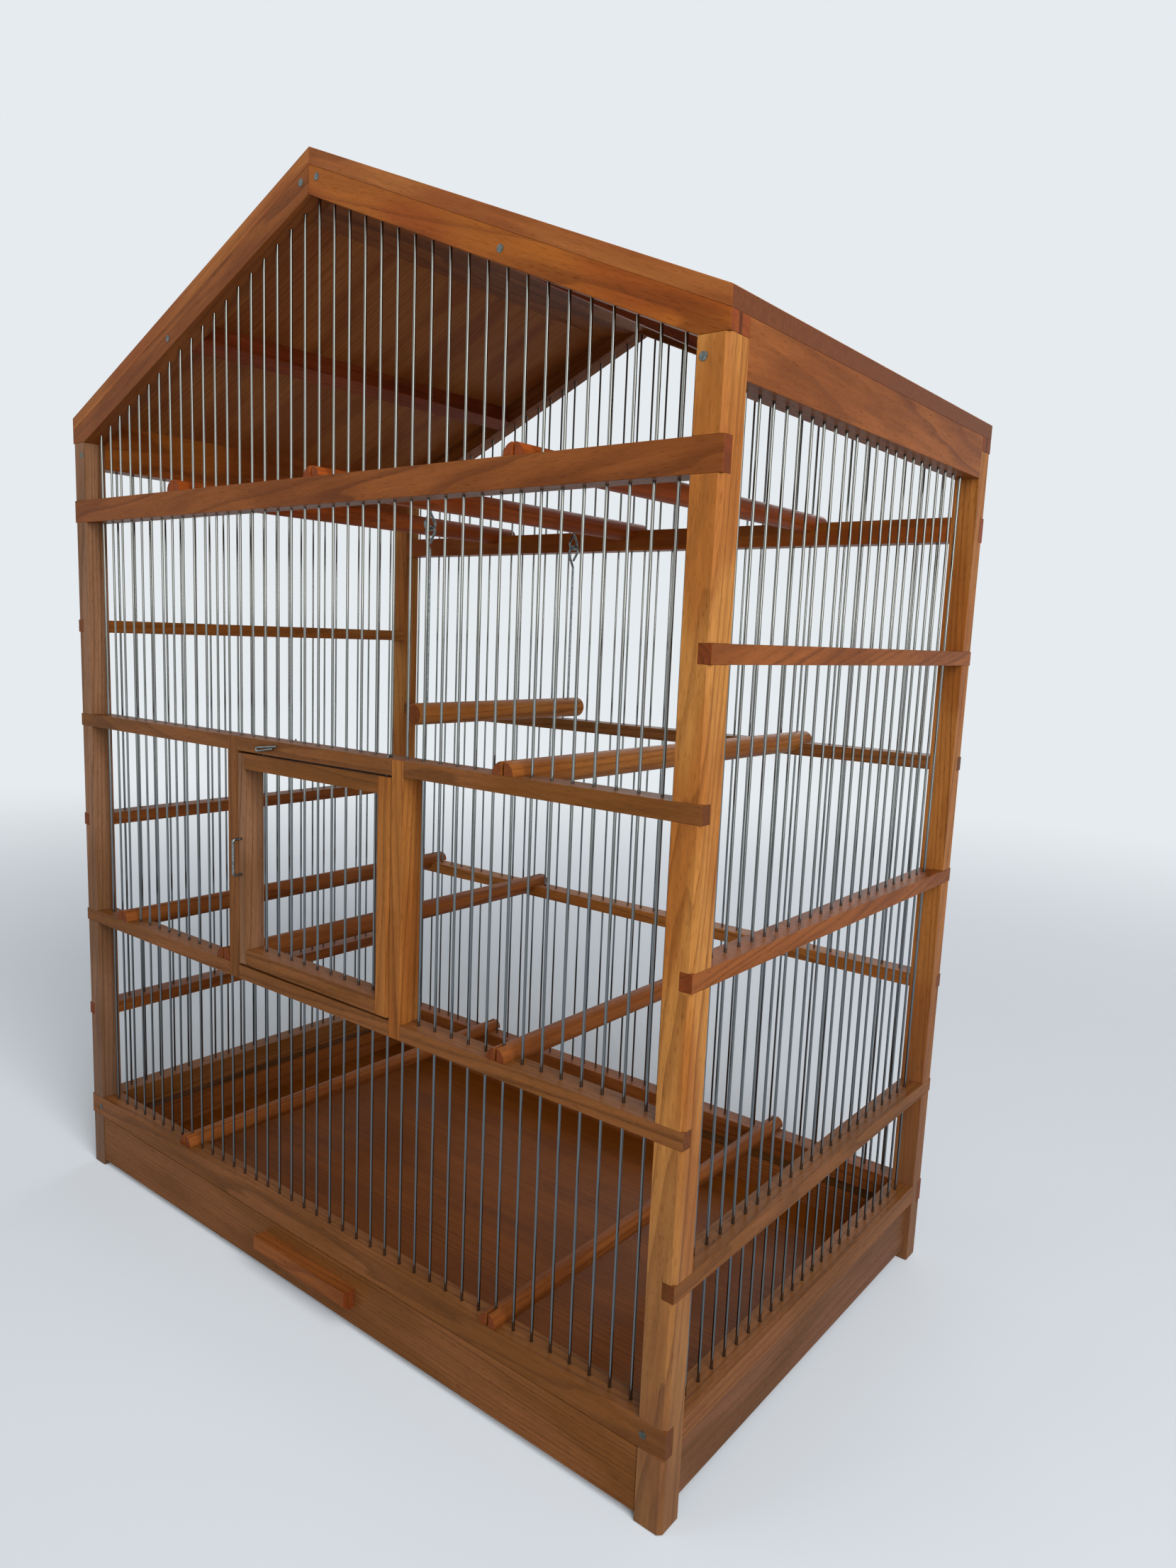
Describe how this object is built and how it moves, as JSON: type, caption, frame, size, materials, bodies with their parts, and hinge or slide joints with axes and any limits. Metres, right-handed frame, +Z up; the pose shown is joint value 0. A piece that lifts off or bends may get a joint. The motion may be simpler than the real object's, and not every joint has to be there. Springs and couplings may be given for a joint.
{
  "type": "bird cage",
  "caption": "Gabled wooden bird cage with steel wire walls, a hinged front door with a wire latch, a pull-out tray, perches and a swing.",
  "frame": {"origin": "on the ground, under the middle of the whole part's outline, tray handle and perch ends included", "axes": "+Z up, +Y from the door side to the back, +X to the right of someone who faces the door"},
  "size_m": [0.63, 0.3944, 0.7966],
  "materials": {
    "golden_wood": "clear satin varnish over golden-brown wood with dark streaks",
    "red_wood": "clear satin varnish over orange to red-brown wood",
    "board_wood": "clear satin varnish over dark red-brown board",
    "wire_steel": "bright drawn steel wire",
    "nail_steel": "dull grey flat nail heads"
  },
  "bodies": {
    "cage": {"post_front_left": "golden_wood", "post_front_right": "golden_wood", "post_back_left": "golden_wood", "post_back_right": "golden_wood", "front_rail_sill": "red_wood", "front_rail_below_door": "red_wood", "front_rail_above_door": "red_wood", "front_rail_collar": "red_wood", "back_rail_sill": "red_wood", "back_rail_lower": "red_wood", "back_rail_middle": "red_wood", "back_rail_collar": "red_wood", "left_rail_sill": "red_wood", "left_rail_lower": "red_wood", "left_rail_middle": "red_wood", "left_rail_upper": "red_wood", "right_rail_sill": "red_wood", "right_rail_lower": "red_wood", "right_rail_middle": "red_wood", "right_rail_upper": "red_wood", "left_eave_beam": "red_wood", "right_eave_beam": "red_wood", "side_skirts": "red_wood", "back_skirt": "red_wood", "tray_runners": "board_wood", "rafter_front_left": "red_wood", "rafter_front_right": "red_wood", "rafter_back_left": "red_wood", "rafter_back_right": "red_wood", "roof_panel_left": "board_wood", "roof_panel_right": "board_wood", "purlins": "red_wood", "ridge_block": "red_wood", "door_jamb_left": "golden_wood", "door_jamb_right": "golden_wood", "perches_sill": "red_wood", "perches_lower": "red_wood", "perch_middle": "red_wood", "perches_upper": "red_wood", "front_wires": "wire_steel", "back_wires": "wire_steel", "left_wires": "wire_steel", "right_wires": "wire_steel", "door_hinge_pins": "wire_steel", "swing_eyes": "wire_steel", "nails": "nail_steel"},
    "door": {"door_latch_stile": "red_wood", "door_hinge_stile": "golden_wood", "door_bottom_rail": "red_wood", "door_top_rail": "red_wood", "door_wires": "wire_steel", "door_pull": "wire_steel"},
    "latch": {"door_latch": "wire_steel"},
    "tray": {"tray_front": "red_wood", "tray_side_walls": "board_wood", "tray_back_wall": "board_wood", "tray_floor": "board_wood", "tray_handle": "red_wood"},
    "swing": {"swing_hangers": "wire_steel", "swing_bar": "red_wood"}
  },
  "joints": [
    {"name": "door_hinge", "type": "hinge", "parent": "cage", "child": "door", "pos_m": [0.076, -0.18305, 0.3227], "axis": [0, 0, 1], "range_deg": [0, 110]},
    {"name": "door_latch_turn", "type": "hinge", "parent": "cage", "child": "latch", "pos_m": [-0.0395, -0.17875, 0.40975], "axis": [0, -1, 0], "range_deg": [0, 90]},
    {"name": "tray_slide", "type": "slide", "parent": "cage", "child": "tray", "axis": [0, -1, 0], "range_m": [0, 0.32]},
    {"name": "swing_hinge", "type": "hinge", "parent": "cage", "child": "swing", "pos_m": [0, 0.01075, 0.5713], "axis": [0, 1, 0], "range_deg": [-35, 35]}
  ]
}
